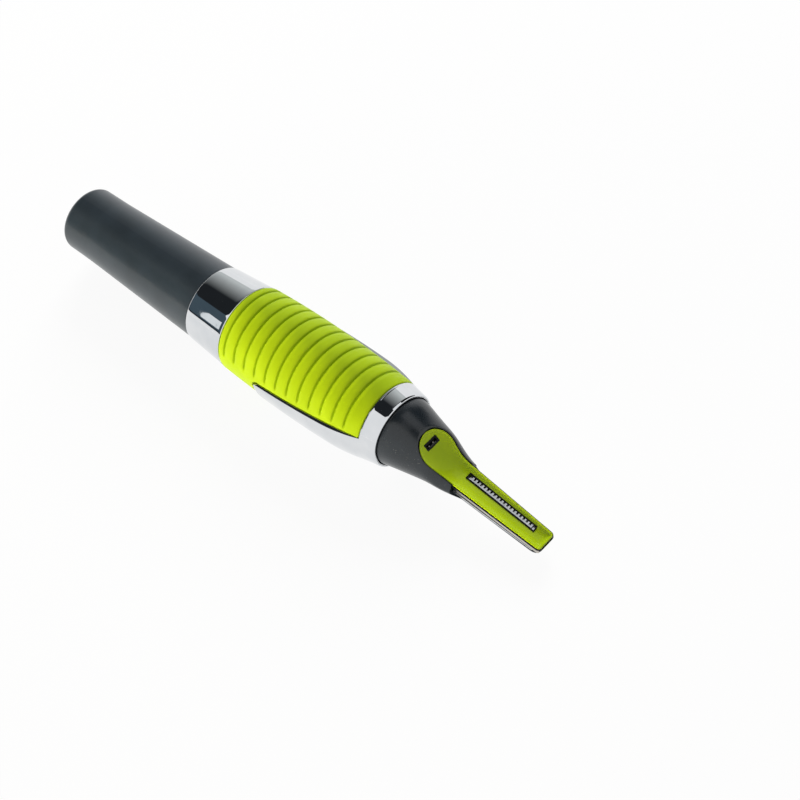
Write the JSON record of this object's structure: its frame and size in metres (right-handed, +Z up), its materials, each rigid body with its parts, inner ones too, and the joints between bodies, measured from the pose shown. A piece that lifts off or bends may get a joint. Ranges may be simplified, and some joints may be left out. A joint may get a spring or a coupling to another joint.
{
  "type": "nose_hair_trimmer",
  "caption": "Pen-style nose hair trimmer with a ribbed lime grip, chromed rings and back panel, charcoal tail cap and nozzle, and a bar-shaped comb-blade head with a lamp",
  "frame": {"origin": "centre of the bounding box's base, on the plane that the trimmer lies on with its back down", "axes": "+X from the tail cap's end towards the head's tip, +Z up, the way the green insert and the lamp face"},
  "size_m": [0.1414, 0.0228, 0.0217],
  "materials": {
    "charcoal_plastic": "smooth satin",
    "contact_steel": "nickel plated",
    "black_rubber": "matt",
    "chrome_plate": "chrome plated",
    "lime_rubber": "soft satin",
    "black_plastic": "fine satin",
    "cell_jacket": "printed jacket left plain",
    "contact_brass": "bare",
    "board_laminate": "solder mask",
    "magnet_iron": "ground",
    "armature_copper": "wound",
    "white_plastic": "moulded",
    "lime_plastic": "gloss",
    "blade_steel": "ground",
    "lamp_clear": "clear"
  },
  "bodies": {
    "handle": {"cap_seal": "black_rubber", "rear_ring": "chrome_plate", "grip": "lime_rubber", "chrome_bezel": "chrome_plate", "barrel": "black_plastic", "battery_cell": "cell_jacket", "battery_tube": "black_plastic", "positive_contact": "contact_brass", "negative_strip": "contact_brass", "switch_board": "board_laminate", "motor_can": "contact_steel", "motor_endcap": "black_plastic", "motor_magnets": "magnet_iron", "motor_cradle": "black_plastic", "motor_screws": "contact_steel", "lamp_contacts": "contact_brass"},
    "cap": {"tail_cap": "charcoal_plastic", "spring_plate": "contact_steel", "battery_spring": "contact_steel"},
    "slider": {"power_slider": "black_plastic", "slide_contact": "contact_brass"},
    "rotor": {"motor_shaft": "contact_steel", "armature": "armature_copper", "crank": "white_plastic"},
    "head": {"nozzle": "charcoal_plastic", "head_insert": "lime_plastic", "blade_guide": "black_plastic", "fixed_blade": "blade_steel", "pivot_pin": "contact_steel", "lamp": "lamp_clear", "lamp_frame": "black_plastic", "lamp_leads": "contact_brass"},
    "lever": {"rocker_lever": "white_plastic"},
    "blade": {"moving_blade": "blade_steel"}
  },
  "joints": [
    {"name": "cap_pull", "type": "slide", "parent": "handle", "child": "cap", "axis": [-1, 0, 0], "range_m": [0, 0.048]},
    {"name": "power_slide", "type": "slide", "parent": "handle", "child": "slider", "axis": [1, 0, 0], "range_m": [0, 0.0035]},
    {"name": "motor_spin", "type": "hinge", "parent": "handle", "child": "rotor", "pos_m": [0.0143, 0, 0.01075], "axis": [1, 0, 0], "continuous": true},
    {"name": "head_twist", "type": "hinge", "parent": "handle", "child": "head", "pos_m": [0.0293, 0, 0.01075], "axis": [1, 0, 0], "range_deg": [0, 30]},
    {"name": "lever_rock", "type": "hinge", "parent": "head", "child": "lever", "pos_m": [0.03923, 0, 0.00888], "axis": [0.1891, 0, 0.982], "range_deg": [-3.6, 3.6]},
    {"name": "blade_stroke", "type": "slide", "parent": "head", "child": "blade", "axis": [0.982, 0, -0.1891], "range_m": [-0.000204, 0.000204]}
  ],
  "couplings": [
    {"joint": "blade_stroke", "follows": "lever_rock", "m_per_rad": 0.0032}
  ]
}
